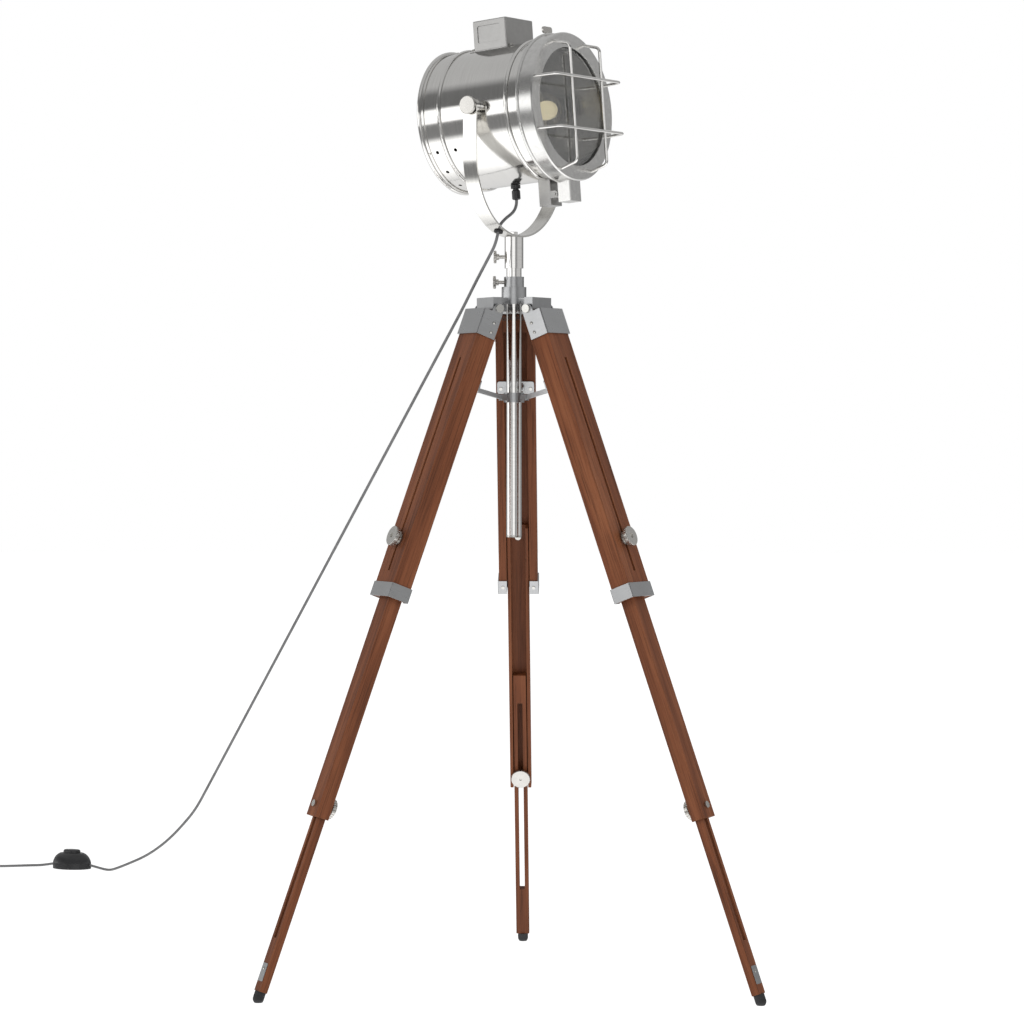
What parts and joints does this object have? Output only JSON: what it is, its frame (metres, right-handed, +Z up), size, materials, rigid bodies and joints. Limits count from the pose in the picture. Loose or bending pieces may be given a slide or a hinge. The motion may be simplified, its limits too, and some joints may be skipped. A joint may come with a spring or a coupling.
{
  "type": "searchlight tripod floor lamp",
  "caption": "Searchlight-style floor lamp: metal drum head with a wire lens guard, tilting in a U-shaped yoke on a telescoping wooden tripod, with a foot switch on its cord.",
  "frame": {"origin": "middle of the box round the lamp without its free cord, on the floor", "axes": "+Z up; the tripod's rear leg points to +Y, its front legs to -X -Y and +X -Y; the lens faces +X, 31.6 degrees towards -Y"},
  "size_m": [1.6542, 1.7377, 1.5901],
  "materials": {
    "wood": "oiled teak, open grain",
    "brushed_nickel": "brushed round the drum",
    "polished_nickel": "bright nickel",
    "satin_alloy": "satin, cast or machined",
    "knob_nickel": "satin nickel, turned",
    "rubber_black": "matt",
    "black_plastic": "satin black",
    "cord_grey": "dark grey sheath",
    "clear_glass": "clear",
    "mirror": "bright spun bowl"
  },
  "bodies": {
    "base": {"hub": "satin_alloy", "foot_switch_body": "black_plastic", "cord_drop": "cord_grey", "cord_mains": "cord_grey", "cord_coil": "cord_grey", "mains_plug": "black_plastic"},
    "leg_1": {"leg_1_rail": "wood", "leg_1_metalwork": "satin_alloy", "leg_1_fasteners": "polished_nickel"},
    "leg_1_slider": {"leg_1_middle": "wood"},
    "leg_1_end": {"leg_1_bar": "wood", "leg_1_foot": "rubber_black"},
    "upper_knob_1": {"leg_1_upper_knob": "knob_nickel"},
    "lower_knob_1": {"leg_1_lower_knob": "knob_nickel"},
    "stay_link_1": {"stay_1": "satin_alloy"},
    "leg_2": {"leg_2_rail": "wood", "leg_2_metalwork": "satin_alloy", "leg_2_fasteners": "polished_nickel"},
    "leg_2_slider": {"leg_2_middle": "wood"},
    "leg_2_end": {"leg_2_bar": "wood", "leg_2_foot": "rubber_black"},
    "upper_knob_2": {"leg_2_upper_knob": "knob_nickel"},
    "lower_knob_2": {"leg_2_lower_knob": "knob_nickel"},
    "stay_link_2": {"stay_2": "satin_alloy"},
    "leg_3": {"leg_3_rail": "wood", "leg_3_metalwork": "satin_alloy", "leg_3_fasteners": "polished_nickel"},
    "leg_3_slider": {"leg_3_middle": "wood"},
    "leg_3_end": {"leg_3_bar": "wood", "leg_3_foot": "rubber_black"},
    "upper_knob_3": {"leg_3_upper_knob": "knob_nickel"},
    "lower_knob_3": {"leg_3_lower_knob": "knob_nickel"},
    "stay_link_3": {"stay_3": "satin_alloy"},
    "stay_collar_ring": {"stay_collar": "satin_alloy"},
    "mast_tube": {"mast": "polished_nickel", "mast_plug": "polished_nickel"},
    "hub_clamp": {"hub_clamp_screw": "knob_nickel"},
    "yoke_frame": {"yoke": "polished_nickel", "sleeve": "polished_nickel", "yoke_bolt": "polished_nickel", "grommet": "rubber_black", "cord_upper": "cord_grey"},
    "sleeve_clamp": {"sleeve_clamp_screw": "knob_nickel"},
    "head": {"drum_shell": "brushed_nickel", "rear_cap": "brushed_nickel", "vent_box": "brushed_nickel", "head_screws": "polished_nickel", "pivot_bosses": "polished_nickel", "door_hinge_base": "satin_alloy", "reflector": "mirror", "lamp_holder": "black_plastic", "bulb": "clear_glass", "strain_relief": "black_plastic"},
    "near_knob": {"near_tilt_knob": "knob_nickel"},
    "far_knob": {"far_tilt_knob": "knob_nickel"},
    "door": {"door_ring": "polished_nickel", "lens": "clear_glass", "lens_guard": "polished_nickel"},
    "door_latch": {"door_latch_screw": "knob_nickel"},
    "switch_button": {"foot_switch_button": "black_plastic"}
  },
  "joints": [
    {"name": "leg_1_fold", "type": "hinge", "parent": "base", "child": "leg_1", "pos_m": [0, -0.07, 1.11], "axis": [-1, 0, 0], "range_deg": [0, 16]},
    {"name": "leg_1_upper_slide", "type": "slide", "parent": "leg_1", "child": "leg_1_slider", "axis": [0, 0.3532, -0.9356], "range_m": [-0.3, 0.05]},
    {"name": "leg_1_lower_slide", "type": "slide", "parent": "leg_1_slider", "child": "leg_1_end", "axis": [0, 0.3532, -0.9356], "range_m": [-0.21, 0.13]},
    {"name": "upper_knob_1_turn", "type": "hinge", "parent": "leg_1_slider", "child": "upper_knob_1", "pos_m": [0, 0.09502, 0.73512], "axis": [0, 0.9356, 0.3532], "range_deg": [0, 270]},
    {"name": "lower_knob_1_turn", "type": "hinge", "parent": "leg_1_slider", "child": "lower_knob_1", "pos_m": [0, 0.22505, 0.30428], "axis": [0, -0.9356, -0.3532], "range_deg": [0, 270]},
    {"name": "stay_1_turn", "type": "hinge", "parent": "stay_collar_ring", "child": "stay_link_1", "pos_m": [0, -0.094, 0.9646], "axis": [1, 0, 0], "range_deg": [0, 58]},
    {"name": "leg_2_fold", "type": "hinge", "parent": "base", "child": "leg_2", "pos_m": [-0.03984, -0.139, 1.11], "axis": [0.5, -0.866, 0], "range_deg": [0, 16]},
    {"name": "leg_2_upper_slide", "type": "slide", "parent": "leg_2", "child": "leg_2_slider", "axis": [-0.3058, -0.1766, -0.9356], "range_m": [-0.3, 0.05]},
    {"name": "leg_2_lower_slide", "type": "slide", "parent": "leg_2_slider", "child": "leg_2_end", "axis": [-0.3058, -0.1766, -0.9356], "range_m": [-0.21, 0.13]},
    {"name": "upper_knob_2_turn", "type": "hinge", "parent": "leg_2_slider", "child": "upper_knob_2", "pos_m": [-0.18275, -0.22151, 0.73512], "axis": [-0.8102, -0.4678, 0.3532], "range_deg": [0, 270]},
    {"name": "lower_knob_2_turn", "type": "hinge", "parent": "leg_2_slider", "child": "lower_knob_2", "pos_m": [-0.29536, -0.28653, 0.30428], "axis": [0.8102, 0.4678, -0.3532], "range_deg": [0, 270]},
    {"name": "stay_2_turn", "type": "hinge", "parent": "stay_collar_ring", "child": "stay_link_2", "pos_m": [-0.01905, -0.127, 0.9646], "axis": [-0.5, 0.866, 0], "range_deg": [0, 58]},
    {"name": "leg_3_fold", "type": "hinge", "parent": "base", "child": "leg_3", "pos_m": [0.03984, -0.139, 1.11], "axis": [0.5, 0.866, 0], "range_deg": [0, 16]},
    {"name": "leg_3_upper_slide", "type": "slide", "parent": "leg_3", "child": "leg_3_slider", "axis": [0.3058, -0.1766, -0.9356], "range_m": [-0.3, 0.05]},
    {"name": "leg_3_lower_slide", "type": "slide", "parent": "leg_3_slider", "child": "leg_3_end", "axis": [0.3058, -0.1766, -0.9356], "range_m": [-0.21, 0.13]},
    {"name": "upper_knob_3_turn", "type": "hinge", "parent": "leg_3_slider", "child": "upper_knob_3", "pos_m": [0.18275, -0.22151, 0.73512], "axis": [0.8102, -0.4678, 0.3532], "range_deg": [0, 270]},
    {"name": "lower_knob_3_turn", "type": "hinge", "parent": "leg_3_slider", "child": "lower_knob_3", "pos_m": [0.29536, -0.28653, 0.30428], "axis": [-0.8102, 0.4678, -0.3532], "range_deg": [0, 270]},
    {"name": "stay_3_turn", "type": "hinge", "parent": "stay_collar_ring", "child": "stay_link_3", "pos_m": [0.01905, -0.127, 0.9646], "axis": [-0.5, -0.866, 0], "range_deg": [0, 58]},
    {"name": "stay_collar_slide", "type": "slide", "parent": "base", "child": "stay_collar_ring", "axis": [0, 0, -1], "range_m": [0, 0.0429]},
    {"name": "mast_lift", "type": "slide", "parent": "base", "child": "mast_tube", "axis": [0, 0, 1], "range_m": [-0.012, 0.17], "deforming": ["cord_drop"]},
    {"name": "hub_clamp_turn", "type": "hinge", "parent": "base", "child": "hub_clamp", "pos_m": [-0.0165, -0.116, 1.155], "axis": [-1, 0, 0], "range_deg": [0, 270]},
    {"name": "yoke_pan", "type": "hinge", "parent": "mast_tube", "child": "yoke_frame", "pos_m": [0, -0.116, 1.2], "axis": [0, 0, 1], "range_deg": [-90, 90]},
    {"name": "sleeve_clamp_turn", "type": "hinge", "parent": "yoke_frame", "child": "sleeve_clamp", "pos_m": [-0.0155, -0.116, 1.197], "axis": [-1, 0, 0], "range_deg": [0, 270]},
    {"name": "head_tilt", "type": "hinge", "parent": "yoke_frame", "child": "head", "pos_m": [0, -0.116, 1.438], "axis": [-0.524, -0.8517, 0], "range_deg": [-64.5, 55.5], "deforming": ["cord_upper"]},
    {"name": "near_knob_turn", "type": "hinge", "parent": "yoke_frame", "child": "near_knob", "pos_m": [-0.06833, -0.22706, 1.438], "axis": [-0.524, -0.8517, 0], "range_deg": [0, 270]},
    {"name": "far_knob_turn", "type": "hinge", "parent": "yoke_frame", "child": "far_knob", "pos_m": [0.06833, -0.00494, 1.438], "axis": [0.524, 0.8517, 0], "range_deg": [0, 270]},
    {"name": "door_swing", "type": "hinge", "parent": "head", "child": "door", "pos_m": [0.07697, -0.16335, 1.29665], "axis": [0.524, 0.8517, 0], "range_deg": [0, 100]},
    {"name": "latch_turn", "type": "hinge", "parent": "head", "child": "door_latch", "pos_m": [0.05603, -0.15047, 1.55803], "axis": [-0.0668, 0.0411, 0.9969], "range_deg": [0, 270]},
    {"name": "switch_press", "type": "slide", "parent": "base", "child": "switch_button", "axis": [0, 0, -1], "range_m": [0, 0.003], "stiffness_N_per_m": 600, "springref_m": -0.003}
  ],
  "couplings": [
    {"joint": "stay_1_turn", "follows": "leg_1_fold", "ratio": 3.625},
    {"joint": "leg_2_fold", "follows": "leg_1_fold", "ratio": 1},
    {"joint": "stay_2_turn", "follows": "leg_1_fold", "ratio": 3.625},
    {"joint": "leg_3_fold", "follows": "leg_1_fold", "ratio": 1},
    {"joint": "stay_3_turn", "follows": "leg_1_fold", "ratio": 3.625},
    {"joint": "stay_collar_slide", "follows": "leg_1_fold", "m_per_rad": 0.1533}
  ]
}
